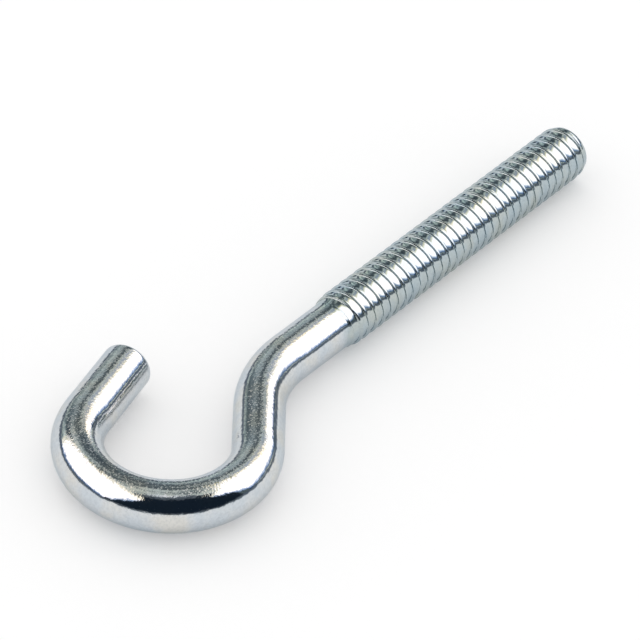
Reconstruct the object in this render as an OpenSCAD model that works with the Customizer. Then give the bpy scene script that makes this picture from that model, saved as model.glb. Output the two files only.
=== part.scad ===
// Hook bolt: one steel rod, bent at one end into an open eye and rolled with a
// machine thread at the other. It lies flat, with the hook in the XY plane.
// The origin is on the thread's axis, where the plain shank meets the thread,
// and +X points along the thread, out of its free end.

/* [Rod] */
// Diameter of the plain rod
rod_d = 5.5; // [4.6:0.1:6.2]

/* [Eye] */
// Clear diameter inside the round of the eye
eye_inner_d = 13; // [10:0.5:20]
// Length of the straight end that follows the eye
hook_end_len = 9.3; // [5:0.1:14]
// Angle by which that straight end spreads away from the shank
hook_end_spread = 14; // [0:1:30]
// Bevel round the cut face of the straight end
hook_end_bevel = 0.4; // [0.1:0.05:1]

/* [Neck] */
// Angle by which the neck turns aside from the shank
neck_angle = 38.5; // [30:0.5:50]
// Radius of that turn, to the middle of the rod
neck_bend_r = 12.8; // [8:0.2:20]
// Length of the straight neck between that turn and the eye
neck_len = 6.7; // [3:0.1:12]

/* [Shank] */
// Length of the plain shank between the neck and the thread
shank_len = 6.8; // [2:0.1:40]

/* [Thread] */
// Diameter over the crests of the thread
thread_d = 6.3; // [5.8:0.05:6.8]
// Distance from one crest to the next
thread_pitch = 1.27; // [1:0.01:1.55]
// Length from the plain shank to the free end
thread_len = 41.8; // [15:0.1:60]
// Length over which the first turns rise out of the rod
thread_runout = 2.2; // [0.3:0.1:3]
// Angle round the rod at which the thread starts
thread_start = 315; // [0:5:355]
// Diameter of the flat face at the free end
thread_face_d = 5.6; // [3:0.1:5.6]
// Length of the taper towards that face
thread_taper_len = 1; // [0.3:0.1:3]
// Sides of the thread round one turn
thread_sides = 24; // [16:2:32]

/* [Hidden] */
$fn = 64;

eye_bend_r = (eye_inner_d + rod_d) / 2;
eye_turn = 180 + neck_angle - hook_end_spread;

// Form of the rolled thread: narrow blunt crests with broad shallow roots
// between them, and steep flanks that lean away from the radius by this angle
flank_lean = 22;
crest_flat = thread_pitch * 0.18;
root_flat = thread_pitch * 0.6;
flank_run = (thread_pitch - crest_flat - root_flat) / 2;
crest_r = thread_d / 2;
face_r = thread_face_d / 2;
root_r = crest_r - flank_run / tan(flank_lean);
// Corners of one pitch, as [place along the pitch, radius]
profile = [
    [0, root_r],
    [root_flat, root_r],
    [root_flat + flank_run, crest_r],
    [root_flat + flank_run + crest_flat, crest_r]
];
// A straight piece of rod runs this far into the bends at its ends, and is this
// much thinner all round, so that the solids overlap and never only touch
lap = 0.2;
lap_step = 0.02;
straight_r = rod_d / 2 - lap_step;
// Closest that a corner of the thread comes to either end face
end_gap = thread_pitch / 20;

// ---- Rod -------------------------------------------------------------------

// The rod is followed piece by piece. Each piece leaves the origin along +X,
// and the past_ modules move what comes next to its far end.

// Straight rod from one place along +X to another
module straight_rod(from, to) {
    translate([from, 0, 0]) rotate([0, 90, 0]) cylinder(r = straight_r, h = to - from);
}

// Rod that turns to the left by an angle
module bent_rod(bend_r, angle) {
    translate([0, bend_r, 0]) rotate([0, 0, -90])
        rotate_extrude(angle = angle) translate([bend_r, 0]) circle(d = rod_d);
}

// Straight end of the hook, turned with a bevel round its cut face
module hook_end() {
    rotate([0, 90, 0]) rotate_extrude()
        polygon([
            [0, -lap],
            [straight_r, -lap],
            [straight_r, hook_end_len - hook_end_bevel],
            [straight_r - hook_end_bevel, hook_end_len],
            [0, hook_end_len]
        ]);
}

module past_straight(length) {
    translate([length, 0, 0]) children();
}

module past_bend(bend_r, angle) {
    translate([0, bend_r, 0]) rotate([0, 0, angle]) translate([0, -bend_r, 0]) children();
}

// Plain rod from the foot of the thread back to the end of the hook. The neck
// turns one way and the eye the other, so the eye is drawn mirrored.
module bent_shank() {
    rotate([0, 0, 180]) {
        straight_rod(0, shank_len + lap);
        past_straight(shank_len) {
            bent_rod(neck_bend_r, neck_angle);
            past_bend(neck_bend_r, neck_angle) {
                straight_rod(-lap, neck_len + lap);
                past_straight(neck_len) mirror([0, 1, 0]) {
                    bent_rod(eye_bend_r, eye_turn);
                    past_bend(eye_bend_r, eye_turn) hook_end();
                }
            }
        }
    }
}

// ---- Thread ----------------------------------------------------------------

// The thread is a grid that follows the helix. Column i is a line along the
// rod at angle 360 * i / thread_sides from the start, and row k runs along the
// helix, so after one full turn it carries on as row k + corners of column 0.
corners = len(profile);
last_row = corners * ceil(thread_len / thread_pitch);

// Corner of the thread form that row k follows; rows below 0 belong to the turn
// that rises at the foot
function corner_of(k) = profile[k - corners * floor(k / corners)];

// Place along the rod of row k in column i
function row_x(i, k) = thread_pitch * (floor(k / corners) + i / thread_sides) + corner_of(k)[0];

// Radius of the finished thread for a corner of radius r at place x
function row_r(x, r) =
    let (risen = min(1, x / thread_runout),
         grown = rod_d / 2 + (r - rod_d / 2) * risen,
         tapered = face_r + (crest_r - face_r) * (thread_len - x) / thread_taper_len)
    min(grown, tapered);

// Rows of column i that lie between the two end faces
function rows_of(i) = [
    for (k = [-corners : last_row])
        if (row_x(i, k) > end_gap && row_x(i, k) < thread_len - end_gap) k
];

function ring_point(x, r, i) =
    let (a = 360 * i / thread_sides) [x, r * cos(a), r * sin(a)];

// Points of column i: its foot on the rod, its corners and its end
function column(i) = concat(
    [ring_point(0, straight_r - lap_step, i)],
    [for (k = rows_of(i)) let (x = row_x(i, k)) ring_point(x, row_r(x, corner_of(k)[1]), i)],
    [ring_point(thread_len, face_r, i)]
);

module thread() {
    sides = thread_sides;
    columns = [for (i = [0 : sides - 1]) column(i)];
    first_row = [for (i = [0 : sides - 1]) rows_of(i)[0]];
    // Place of each column's foot in the list of all points
    foot = [for (i = 0, at = 0; i <= sides; at = at + (i < sides ? len(columns[i]) : 0), i = i + 1) at];

    // Point for row k of column i: rows past either end fall on the end point
    function point(i, k) = i == sides
        ? point(0, k + corners)
        : foot[i] + max(0, min(len(columns[i]) - 1, k - first_row[i] + 1));

    walls = [
        for (i = [0 : sides - 1], k = [-2 * corners : last_row])
            let (a = point(i, k), b = point(i + 1, k), c = point(i + 1, k + 1), d = point(i, k + 1))
            each [if (b != c) [a, c, b], if (a != d) [a, d, c]]
    ];
    foot_face = [for (i = [0 : sides - 1]) foot[i]];
    end_face = [for (i = [sides - 1 : -1 : 0]) foot[i + 1] - 1];
    polyhedron(
        points = [for (c = columns) each c],
        faces = concat([foot_face, end_face], walls)
    );
}

// ---- Part ------------------------------------------------------------------

module hook_bolt() {
    color([0.78, 0.79, 0.81]) {
        bent_shank();
        rotate([thread_start, 0, 0]) thread();
    }
}

hook_bolt();
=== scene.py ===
"""Zinc plated hook bolt: one rod, bent into an open eye and rolled with a machine thread.

The bolt's sizes are in millimetres in the part's frame, and its points become metres where its mesh is made.
The stage's distances are in metres; the place the camera aims at and the sizes of noise are in millimetres.
"""

import math

import bpy
from mathutils import Matrix, Vector


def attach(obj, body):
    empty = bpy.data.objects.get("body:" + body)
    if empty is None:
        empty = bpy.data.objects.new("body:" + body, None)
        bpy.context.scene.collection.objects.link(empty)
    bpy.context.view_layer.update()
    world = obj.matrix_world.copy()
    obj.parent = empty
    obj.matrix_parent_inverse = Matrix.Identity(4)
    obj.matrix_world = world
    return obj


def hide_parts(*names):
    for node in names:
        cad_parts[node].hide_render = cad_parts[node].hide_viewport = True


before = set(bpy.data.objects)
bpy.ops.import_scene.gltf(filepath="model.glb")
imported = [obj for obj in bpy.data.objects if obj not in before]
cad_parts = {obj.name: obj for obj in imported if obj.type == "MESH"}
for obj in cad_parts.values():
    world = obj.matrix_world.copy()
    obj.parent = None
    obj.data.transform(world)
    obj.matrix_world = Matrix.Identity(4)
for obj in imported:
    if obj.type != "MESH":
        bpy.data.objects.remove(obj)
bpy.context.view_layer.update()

MM = 0.001

# ---- Sizes, as in the part's source ------------------------------------------------------------

ROD_R = 2.75
EYE_R = 9.25
EYE_TURN = math.radians(204.5)
HOOK_END_LEN = 9.3
NECK_ANGLE = math.radians(38.5)
NECK_R = 12.8
NECK_LEN = 6.7
SHANK_LEN = 6.8
CREST_R = 3.15
PITCH = 1.27
THREAD_LEN = 41.8
RUNOUT = 2.2
THREAD_START = math.radians(315)
END_FACE_R = 2.8
TAPER_LEN = 1.0

# The hook end's edge is rounded here, where the part's source has a bevel of 0.4.
HOOK_END_ROUNDING = 0.6

# ---- Fineness of the mesh ----------------------------------------------------------------------

SIDES = 72
RING_STEP = 0.33
ROUNDING_STEPS = 6
THREAD_END_RINGS = (2.6, 1.8, 0.9)
HOOK_END_RINGS = (2.0, 1.0)

# ---- Thread form -------------------------------------------------------------------------------

# One pitch is a chain of bends. Each length is measured along the surface, and each lean is the angle in
# degrees by which the surface's normal leans away from the radius.
CREST_LEN = 0.27
CREST_LEAN = 8
EDGE_LEN = 0.02
FLANK_LEN = 0.14
FLANK_LEAN = 74
FOOT_LEN = 0.08
ROOT_LEAN = 6

# ---- Looks of the plating ----------------------------------------------------------------------

ZINC_COOL = (0.595, 0.64, 0.68)
ZINC_PLAIN = (0.64, 0.665, 0.68)
ZINC_WARM = (0.685, 0.68, 0.65)
# Darker, bluer base colour on the thread: painted shade of its fine grooves.
THREAD_PAINTED_SHADE = (0.74, 0.81, 0.82)
RIM = (0.74, 0.78, 0.81)
TINT_SIZE = 3.0
SPECK_SIZE = 0.3
SPECK = (0.86, 0.87, 0.88)
WAVE_SIZE = 0.9
WAVE_DEPTH = 0.022
GRAIN_SIZE = 0.2
GRAIN_DEPTH = 0.013
SMOOTH = 0.07
DULL = 0.4

# ---- Colours of the stage ----------------------------------------------------------------------

FLOOR = (0.85, 0.85, 0.85)
FLOOR_GLOW = 0.16
NIGHT = (0.01, 0.018, 0.03)
NAVY = (0.01, 0.022, 0.05)
BLUE = (0.06, 0.11, 0.2)
LAMP = (1.0, 0.95, 0.94)
SKY = (0.34, 0.41, 0.53)
WHITE = (1.0, 1.0, 1.0)
CREAM = (0.62, 0.58, 0.42)
GREY = (0.36, 0.38, 0.38)
SLATE = (0.22, 0.25, 0.28)
MIST = (0.45, 0.5, 0.5)
DUSK = (0.1, 0.13, 0.18)
EVEN = ((0.0, WHITE), (1.0, WHITE))
MOTTLE_SIZE = 420
MOTTLED = ((0.42, (0.14, 0.16, 0.17)), (0.5, (0.34, 0.37, 0.37)), (0.59, (0.9, 0.9, 0.82)))

# ---- Camera ------------------------------------------------------------------------------------

CAMERA_AZIMUTH = math.radians(-53.66)
CAMERA_ELEVATION = math.radians(40.30)
CAMERA_ROLL = math.radians(-4.64)
CAMERA_DISTANCE = 0.49015
CAMERA_AIM = (0.26, 1.45, 0)
CAMERA_LENS = 260.4


# ---- Thread ------------------------------------------------------------------------------------


def bend(length, before, after, steps):
    """Steps along the surface as (way along x, way outwards) while its lean changes from before to after."""
    out = []
    for k in range(steps):
        lean = math.radians(before + (after - before) * (k + 0.5) / steps)
        out.append((math.cos(lean) * length / steps, -math.sin(lean) * length / steps))
    return out


def thread_form():
    """Points of one pitch, as (place along the pitch, radius), from the left end of the root."""
    ridge = [
        *bend(FOOT_LEN, -ROOT_LEAN, -FLANK_LEAN, 5),
        *bend(FLANK_LEN, -FLANK_LEAN, -FLANK_LEAN, 2),
        *bend(EDGE_LEN, -FLANK_LEAN, -CREST_LEAN, 4),
        *bend(CREST_LEN, -CREST_LEAN, CREST_LEAN, 2),
        *bend(EDGE_LEN, CREST_LEAN, FLANK_LEAN, 4),
        *bend(FLANK_LEN, FLANK_LEAN, FLANK_LEAN, 2),
        *bend(FOOT_LEN, FLANK_LEAN, ROOT_LEAN, 5),
    ]
    left = PITCH - sum(dx for dx, dr in ridge)
    lean = math.radians(ROOT_LEAN)
    root = bend(left * lean / math.sin(lean), ROOT_LEAN, -ROOT_LEAN, 8)
    points = [(0.0, 0.0)]
    for dx, dr in root + ridge:
        points.append((points[-1][0] + dx, points[-1][1] + dr))
    top = max(r for x, r in points)
    return [(x, CREST_R + r - top) for x, r in points[:-1]]


def thread_radius(x, r):
    """Radius of the finished thread at x, where the full thread form has radius r."""
    risen = min(1.0, max(0.0, x / RUNOUT))
    risen = risen * risen * (3 - 2 * risen)
    grown = ROD_R + (r - ROD_R) * risen
    return min(grown, END_FACE_R + (CREST_R - END_FACE_R) * (THREAD_LEN - x) / TAPER_LEN)


def wander(turn):
    """How far the thread lies off its even place, along and inwards: rolled turns are never quite even."""
    along = 0.035 * math.sin(2.1 * turn) + 0.02 * math.sin(5.3 * turn + 1)
    return along, 0.01 * (1 + math.sin(3.7 * turn + 2))


# ---- Mesh --------------------------------------------------------------------------------------


class Skin:
    """Points and faces of one closed mesh."""

    def __init__(self):
        self.points = []
        self.faces = []

    def point(self, x, y, z):
        self.points.append((x * MM, y * MM, z * MM))
        return len(self.points) - 1

    def face(self, *corners):
        kept = [c for i, c in enumerate(corners) if c != corners[i - 1]]
        if len(set(kept)) == len(kept) and len(kept) > 2:
            self.faces.append(kept)

    def band(self, lower, upper):
        """Faces between two rings of equal length."""
        count = len(lower)
        for i in range(count):
            j = (i + 1) % count
            self.face(lower[i], lower[j], upper[j], upper[i])

    def cap(self, ring, centre):
        count = len(ring)
        for i in range(count):
            self.face(ring[i], ring[(i + 1) % count], centre)


def ring_angle(i):
    return 2 * math.pi * i / SIDES


def add_thread(skin, foot):
    """The thread, from the ring of points foot at x = 0. Returns the ring at its free end."""
    form = thread_form()
    rows = len(form)
    last = rows * (int(THREAD_LEN / PITCH) + 2)
    tip = []
    near = PITCH / 60  # no point of the thread lies nearer to its two ends than this
    columns = []
    for i in range(SIDES):
        a = ring_angle(i)
        turned = i / SIDES - THREAD_START / (2 * math.pi)
        column, first = [], None
        for k in range(-rows, last):
            turn = k // rows + turned + form[k % rows][0] / PITCH
            along, inwards = wander(turn)
            x = PITCH * turn + along
            if near < x < THREAD_LEN - near:
                if first is None:
                    first = k
                r = thread_radius(x, form[k % rows][1] - inwards)
                column.append(skin.point(x, r * math.cos(a), r * math.sin(a)))
        end = skin.point(THREAD_LEN, END_FACE_R * math.cos(a), END_FACE_R * math.sin(a))
        tip.append(end)
        columns.append((first, column, foot[i], end))

    def at(i, k):
        if i == SIDES:
            i, k = 0, k + rows
        first, column, low, high = columns[i]
        if k < first:
            return low
        if k - first >= len(column):
            return high
        return column[k - first]

    for i in range(SIDES):
        for k in range(-2 * rows, last):
            skin.face(at(i, k), at(i + 1, k), at(i + 1, k + 1), at(i, k + 1))
    return tip


def rod_path():
    """Places and headings along the middle of the plain rod, from the thread back to the hook's end."""
    spots = []
    place, heading = Vector((0.0, 0.0)), math.pi

    def straight(length):
        nonlocal place
        way = Vector((math.cos(heading), math.sin(heading)))
        steps = max(1, round(length / RING_STEP))
        for k in range(1, steps + 1):
            spots.append((place + way * (length * k / steps), heading))
        place = spots[-1][0]

    def curve(radius, angle):
        nonlocal place, heading
        side = math.copysign(1, angle)
        centre = place + radius * side * Vector((-math.sin(heading), math.cos(heading)))
        steps = max(2, round(radius * abs(angle) / RING_STEP))
        begin = heading
        for k in range(1, steps + 1):
            heading = begin + angle * k / steps
            spots.append((centre + radius * side * Vector((math.sin(heading), -math.cos(heading))), heading))
        place = spots[-1][0]

    straight(SHANK_LEN)
    curve(NECK_R, NECK_ANGLE)
    straight(NECK_LEN)
    curve(EYE_R, -EYE_TURN)
    straight(HOOK_END_LEN - HOOK_END_ROUNDING)
    return spots


def add_ring(skin, place, heading, radius, along=0.0):
    """A ring round the rod. along moves it on past place."""
    way = Vector((math.cos(heading), math.sin(heading)))
    side = Vector((way.y, -way.x))
    middle = place + way * along
    ring = []
    for i in range(SIDES):
        a = ring_angle(i)
        p = middle + side * (radius * math.cos(a))
        ring.append(skin.point(p.x, p.y, radius * math.sin(a)))
    return ring


def hook_bolt_mesh():
    skin = Skin()
    foot = add_ring(skin, Vector((0, 0)), math.pi, ROD_R)
    tip = add_thread(skin, foot)
    before = tip
    for r in THREAD_END_RINGS:
        ring = []
        for i in range(SIDES):
            a = ring_angle(i)
            ring.append(skin.point(THREAD_LEN, r * math.cos(a), r * math.sin(a)))
        skin.band(before, ring)
        before = ring
    skin.cap(before, skin.point(THREAD_LEN, 0, 0))

    before = foot
    for place, heading in rod_path():
        ring = add_ring(skin, place, heading, ROD_R)
        skin.band(ring, before)
        before = ring
    for k in range(1, ROUNDING_STEPS + 1):
        t = math.pi / 2 * k / ROUNDING_STEPS
        radius = ROD_R - HOOK_END_ROUNDING * (1 - math.cos(t))
        ring = add_ring(skin, place, heading, radius, HOOK_END_ROUNDING * math.sin(t))
        skin.band(ring, before)
        before = ring
    for r in HOOK_END_RINGS:
        ring = add_ring(skin, place, heading, r, HOOK_END_ROUNDING)
        skin.band(ring, before)
        before = ring
    middle = place + Vector((math.cos(heading), math.sin(heading))) * HOOK_END_ROUNDING
    centre = skin.point(middle.x, middle.y, 0)
    skin.cap(list(reversed(before)), centre)
    mesh = bpy.data.meshes.new("hook_bolt_skin")
    mesh.from_pydata(skin.points, [], skin.faces)
    mesh.shade_smooth()
    mesh.update()
    return mesh


# ---- Materials ---------------------------------------------------------------------------------


def new_material(name):
    material = bpy.data.materials.new(name)
    material.use_nodes = True
    tree = material.node_tree
    return material, tree, tree.nodes["Principled BSDF"]


def noise(tree, coordinates, size, detail=2.0, roughness=0.5):
    """Noise with patches of about this size in millimetres."""
    node = tree.nodes.new("ShaderNodeTexNoise")
    node.inputs["Scale"].default_value = 1 / (size * MM)
    node.inputs["Detail"].default_value = detail
    node.inputs["Roughness"].default_value = roughness
    tree.links.new(coordinates, node.inputs["Vector"])
    return node.outputs["Fac"]


def ramp(tree, value, *stops):
    """Colours along a value. Each stop is a place and a colour."""
    node = tree.nodes.new("ShaderNodeValToRGB")
    elements = node.color_ramp.elements
    while len(elements) < len(stops):
        elements.new(0.5)
    for element, (place, colour) in zip(elements, stops):
        element.position = place
        element.color = (*colour, 1)
    tree.links.new(value, node.inputs["Fac"])
    return node.outputs["Color"]


def times(tree, first, second):
    node = tree.nodes.new("ShaderNodeMix")
    node.data_type = "RGBA"
    node.blend_type = "MULTIPLY"
    node.inputs["Factor"].default_value = 1
    tree.links.new(first, node.inputs["A"])
    tree.links.new(second, node.inputs["B"])
    return node.outputs["Result"]


def bump(tree, height, depth, below=None):
    """A bump that is depth millimetres high, on top of the bump below."""
    node = tree.nodes.new("ShaderNodeBump")
    node.inputs["Strength"].default_value = 1.0
    node.inputs["Distance"].default_value = depth * MM
    tree.links.new(height, node.inputs["Height"])
    if below is not None:
        tree.links.new(below, node.inputs["Normal"])
    return node.outputs["Normal"]


def plain_rod(tree, where):
    """1 on the plain rod and 0 on the thread, which the rolling has polished and whose zinc carries a
    painted shade.
    """
    place = tree.nodes.new("ShaderNodeSeparateXYZ")
    tree.links.new(where, place.inputs[0])
    node = tree.nodes.new("ShaderNodeMapRange")
    node.inputs["From Min"].default_value = -1 * MM
    node.inputs["From Max"].default_value = 0
    node.inputs["To Min"].default_value = 1
    node.inputs["To Max"].default_value = 0
    tree.links.new(place.outputs["X"], node.inputs["Value"])
    return node.outputs["Result"]


def upper_side(tree):
    """1 where the skin looks upwards, where the plating grew matt grains, and 0.4 on the sides."""
    facing = tree.nodes.new("ShaderNodeSeparateXYZ")
    tree.links.new(tree.nodes.new("ShaderNodeTexCoord").outputs["Normal"], facing.inputs[0])
    node = tree.nodes.new("ShaderNodeMapRange")
    node.inputs["From Min"].default_value = 0.7
    node.inputs["From Max"].default_value = 0.93
    node.inputs["To Min"].default_value = 0.4
    node.inputs["To Max"].default_value = 1
    tree.links.new(facing.outputs["Z"], node.inputs["Value"])
    return node.outputs["Result"]


def zinc():
    """Bright zinc plate: cool and warm patches, fine grain, the faint waviness of drawn wire, and painted
    shade on the thread.
    """
    material, tree, shader = new_material("bright_zinc_plate")
    shader.inputs["Metallic"].default_value = 1.0
    shader.inputs["Specular Tint"].default_value = (*RIM, 1)
    where = tree.nodes.new("ShaderNodeTexCoord").outputs["Object"]
    tint = ramp(
        tree,
        noise(tree, where, TINT_SIZE, 3.0),
        (0.35, ZINC_COOL),
        (0.5, ZINC_PLAIN),
        (0.65, ZINC_WARM),
    )
    specks = ramp(tree, noise(tree, where, SPECK_SIZE, 3.0, 0.6), (0.3, SPECK), (0.6, WHITE))
    plain = plain_rod(tree, where)
    # The thread's base colour is darkened and blued here: painted shade of its grooves.
    painted_thread_shade = ramp(tree, plain, (0.0, THREAD_PAINTED_SHADE), (1.0, WHITE))
    tree.links.new(times(tree, times(tree, tint, specks), painted_thread_shade), shader.inputs["Base Color"])
    grains = times(tree, noise(tree, where, GRAIN_SIZE, 1.0), times(tree, plain, upper_side(tree)))
    dull = ramp(tree, grains, (0.53, (SMOOTH,) * 3), (0.67, (DULL,) * 3))
    tree.links.new(dull, shader.inputs["Roughness"])
    waves = bump(tree, noise(tree, where, WAVE_SIZE, 1.0), WAVE_DEPTH)
    grain = bump(tree, grains, GRAIN_DEPTH, waves)
    tree.links.new(grain, shader.inputs["Normal"])
    return material


def seen(tree):
    """1 for rays from the camera, or off gloss or through glass, and else 0."""
    path = tree.nodes.new("ShaderNodeLightPath")
    total = path.outputs["Is Camera Ray"]
    for name in ("Is Glossy Ray", "Is Transmission Ray"):
        most = tree.nodes.new("ShaderNodeMath")
        most.operation = "MAXIMUM"
        tree.links.new(total, most.inputs[0])
        tree.links.new(path.outputs[name], most.inputs[1])
        total = most.outputs[0]
    return total


def floor_material():
    material, tree, shader = new_material("pale_floor")
    shader.inputs["Base Color"].default_value = (*FLOOR, 1)
    shader.inputs["Roughness"].default_value = 1.0
    shader.inputs["Specular IOR Level"].default_value = 0.0
    glow = tree.nodes.new("ShaderNodeEmission")
    add = tree.nodes.new("ShaderNodeAddShader")
    tree.links.new(seen(tree), glow.inputs["Strength"])
    glow.inputs["Color"].default_value = (FLOOR_GLOW, FLOOR_GLOW, FLOOR_GLOW, 1)
    tree.links.new(shader.outputs[0], add.inputs[0])
    tree.links.new(glow.outputs[0], add.inputs[1])
    tree.links.new(add.outputs[0], tree.nodes["Material Output"].inputs["Surface"])
    return material


def glowing_material(name, level, across, up, mottled=()):
    """A surface that glows with one ramp of colours across it, one up it and perhaps one over noise."""
    material, tree, shader = new_material(name)
    tree.nodes.remove(shader)
    place = tree.nodes.new("ShaderNodeSeparateXYZ")
    tree.links.new(tree.nodes.new("ShaderNodeTexCoord").outputs["UV"], place.inputs[0])
    glow = tree.nodes.new("ShaderNodeEmission")
    glow.inputs["Strength"].default_value = level
    colour = times(tree, ramp(tree, place.outputs["X"], *across), ramp(tree, place.outputs["Y"], *up))
    if mottled:
        where = tree.nodes.new("ShaderNodeTexCoord").outputs["Object"]
        colour = times(tree, colour, ramp(tree, noise(tree, where, MOTTLE_SIZE, 2.0, 0.6), *mottled))
    tree.links.new(colour, glow.inputs["Color"])
    tree.links.new(glow.outputs[0], tree.nodes["Material Output"].inputs["Surface"])
    return material


# ---- Stage -------------------------------------------------------------------------------------


def link(name, data):
    thing = bpy.data.objects.new(name, data)
    bpy.context.scene.collection.objects.link(thing)
    return thing


def direction(azimuth, elevation):
    """Unit vector; azimuth is measured from +X towards +Y."""
    a, e = math.radians(azimuth), math.radians(elevation)
    return Vector((math.cos(a) * math.cos(e), math.sin(a) * math.cos(e), math.sin(e)))


def patch(name, material, spots):
    """A curved or flat sheet through rows of points, with its UV from 0 to 1 across and up."""
    rows, columns = len(spots), len(spots[0])
    mesh = bpy.data.meshes.new(name)
    faces = [
        (j * columns + i, j * columns + i + 1, (j + 1) * columns + i + 1, (j + 1) * columns + i)
        for j in range(rows - 1)
        for i in range(columns - 1)
    ]
    mesh.from_pydata([p for row in spots for p in row], [], faces)
    places = mesh.uv_layers.new(name="UVMap").data
    for loop in mesh.loops:
        j, i = divmod(loop.vertex_index, columns)
        places[loop.index].uv = (i / (columns - 1), j / (rows - 1))
    mesh.materials.append(material)
    sheet = link(name, mesh)
    sheet.visible_camera = False
    sheet.visible_diffuse = False
    sheet.visible_shadow = False
    return sheet


def soft_box(name, azimuth, elevation, distance, width, height, level, across, up):
    """A flat glowing rectangle that faces the object. level is its brightness, where 1 is white."""
    middle = direction(azimuth, elevation) * distance
    right = direction(azimuth + 90, 0) * width
    top = direction(azimuth, elevation).cross(direction(azimuth + 90, 0)) * height
    spots = [[middle + right * (i / 8 - 0.5) + top * (j / 8 - 0.5) for i in range(9)] for j in range(9)]
    return patch(name, glowing_material(name, level, across, up), spots)


def card(name, az0, az1, el0, el1, distance, level, across, up, mottled=()):
    """A curved card round the stage, seen only in reflections."""
    columns, rows = max(2, round(abs(az1 - az0) / 6)), max(2, round((el1 - el0) / 6))
    spots = []
    for j in range(rows + 1):
        el = el0 + (el1 - el0) * j / rows
        spots.append([direction(az0 + (az1 - az0) * i / columns, el) * distance for i in range(columns + 1)])
    return patch(name, glowing_material(name, level, across, up, mottled), spots)


def make_floor():
    size = 6.0
    mesh = bpy.data.meshes.new("floor")
    z = -CREST_R * MM
    corners = [(-size, -size, z), (size, -size, z), (size, size, z), (-size, size, z)]
    mesh.from_pydata(corners, [], [(0, 1, 2, 3)])
    mesh.materials.append(floor_material())
    link("floor", mesh)


def make_world():
    world = bpy.data.worlds.new("studio")
    bpy.context.scene.world = world
    world.use_nodes = True
    tree = world.node_tree
    ground = tree.nodes["Background"]
    ground.inputs["Color"].default_value = (1, 1, 1, 1)
    ground.inputs["Strength"].default_value = 1.0
    white = tree.nodes.new("ShaderNodeBackground")
    white.inputs["Color"].default_value = (1, 1, 1, 1)
    white.inputs["Strength"].default_value = 1.0
    mix = tree.nodes.new("ShaderNodeMixShader")
    tree.links.new(seen(tree), mix.inputs[0])
    tree.links.new(ground.outputs[0], mix.inputs[1])
    tree.links.new(white.outputs[0], mix.inputs[2])
    tree.links.new(mix.outputs[0], tree.nodes["World Output"].inputs["Surface"])


def make_camera():
    a, e, roll = CAMERA_AZIMUTH, CAMERA_ELEVATION, CAMERA_ROLL
    back = Vector((math.sin(a) * math.cos(e), -math.cos(a) * math.cos(e), math.sin(e)))
    level = Vector((math.cos(a), math.sin(a), 0))
    down = (-back).cross(level)
    right = math.cos(roll) * level + math.sin(roll) * down
    up = -(math.cos(roll) * down - math.sin(roll) * level)
    aim = Vector(CAMERA_AIM) * MM
    lens = bpy.data.cameras.new("camera")
    lens.lens = CAMERA_LENS
    lens.sensor_width = 36
    camera = link("camera", lens)
    turned = Matrix((right, up, back)).transposed().to_4x4()
    camera.matrix_world = Matrix.Translation(aim + back * CAMERA_DISTANCE) @ turned
    lens.clip_start, lens.clip_end = 0.01, 20
    bpy.context.scene.camera = camera


# ---- Scene -------------------------------------------------------------------------------------

bpy.context.scene.view_settings.view_transform = "Standard"
make_camera()
make_world()
make_floor()
soft_box(
    "softbox_right", -27, 43, 1.0, 1.34, 1.08, 2.4,
    ((0.0, BLUE), (0.05, SKY), (0.1, LAMP), (0.72, LAMP), (0.79, CREAM), (0.87, SLATE), (1.0, SLATE)),
    ((0.0, NAVY), (0.05, BLUE), (0.13, SKY), (0.23, LAMP), (0.87, LAMP), (0.94, CREAM), (1.0, GREY)),
)
soft_box(
    "softbox_left", 131, 42, 1.0, 1.6, 1.2, 2.2,
    ((0.0, GREY), (0.05, CREAM), (0.1, LAMP), (0.9, LAMP), (0.95, SKY), (1.0, BLUE)),
    ((0.0, NAVY), (0.05, BLUE), (0.1, SKY), (0.15, LAMP), (0.87, LAMP), (0.94, CREAM), (1.0, GREY)),
)
card("dark_room", -200, -68, 6, 80, 1.3, 1.0, EVEN, ((0.0, SLATE), (0.1, NIGHT), (0.8, NIGHT), (1.0, SLATE)))
card(
    "gap", -68, 160, 12, 90, 1.5, 2.2, EVEN,
    ((0.0, GREY), (0.1, MIST), (0.24, SLATE), (0.4, GREY), (1.0, GREY)), MOTTLED,
)
card(
    "side_lamp", -10, 20, 18.5, 38, 0.9, 2.4,
    ((0.0, LAMP), (0.8, LAMP), (0.88, CREAM), (1.0, SLATE)),
    ((0.0, BLUE), (0.1, SKY), (0.2, LAMP), (0.85, LAMP), (0.94, CREAM), (1.0, GREY)),
)
card("skirt", -75, 165, 4, 12, 1.45, 1.0, EVEN, ((0.0, SLATE), (1.0, DUSK)))

bolt = link("hook_bolt_finished", hook_bolt_mesh())
bolt.data.materials.append(zinc())
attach(bolt, "root")
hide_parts("hook_bolt")
